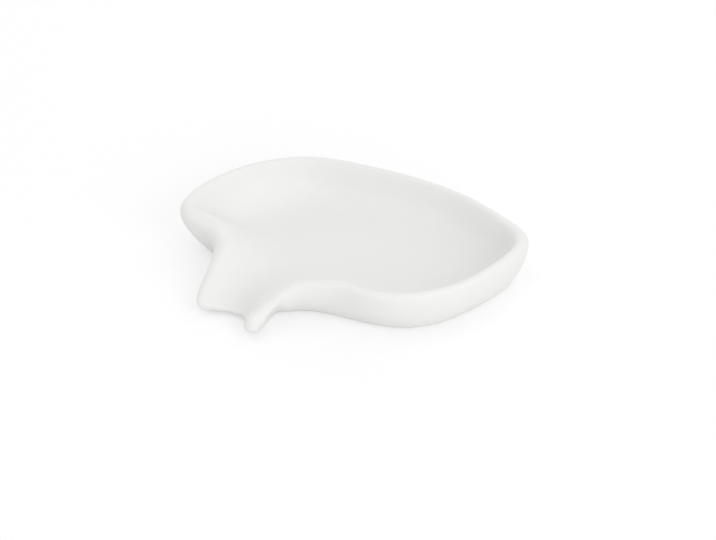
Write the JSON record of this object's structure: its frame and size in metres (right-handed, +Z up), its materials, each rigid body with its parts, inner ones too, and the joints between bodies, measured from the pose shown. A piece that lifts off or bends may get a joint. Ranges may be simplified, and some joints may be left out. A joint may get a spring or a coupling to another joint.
{
  "type": "draining soap dish",
  "caption": "Leaf-shaped bowl of soft silicone with a rounded rim and a sloping floor that drains over a low open spout beside a finger-shaped lip.",
  "frame": {"origin": "middle of the bounding box, on the surface that the foot stands on", "axes": "+X along the leaf from the spout's side to the pointed tip, +Y to the round back, +Z up"},
  "size_m": [0.1344, 0.107, 0.0207],
  "materials": {
    "silicone": "soft matte"
  },
  "bodies": {
    "root": {"dish": "silicone"}
  },
  "joints": []
}
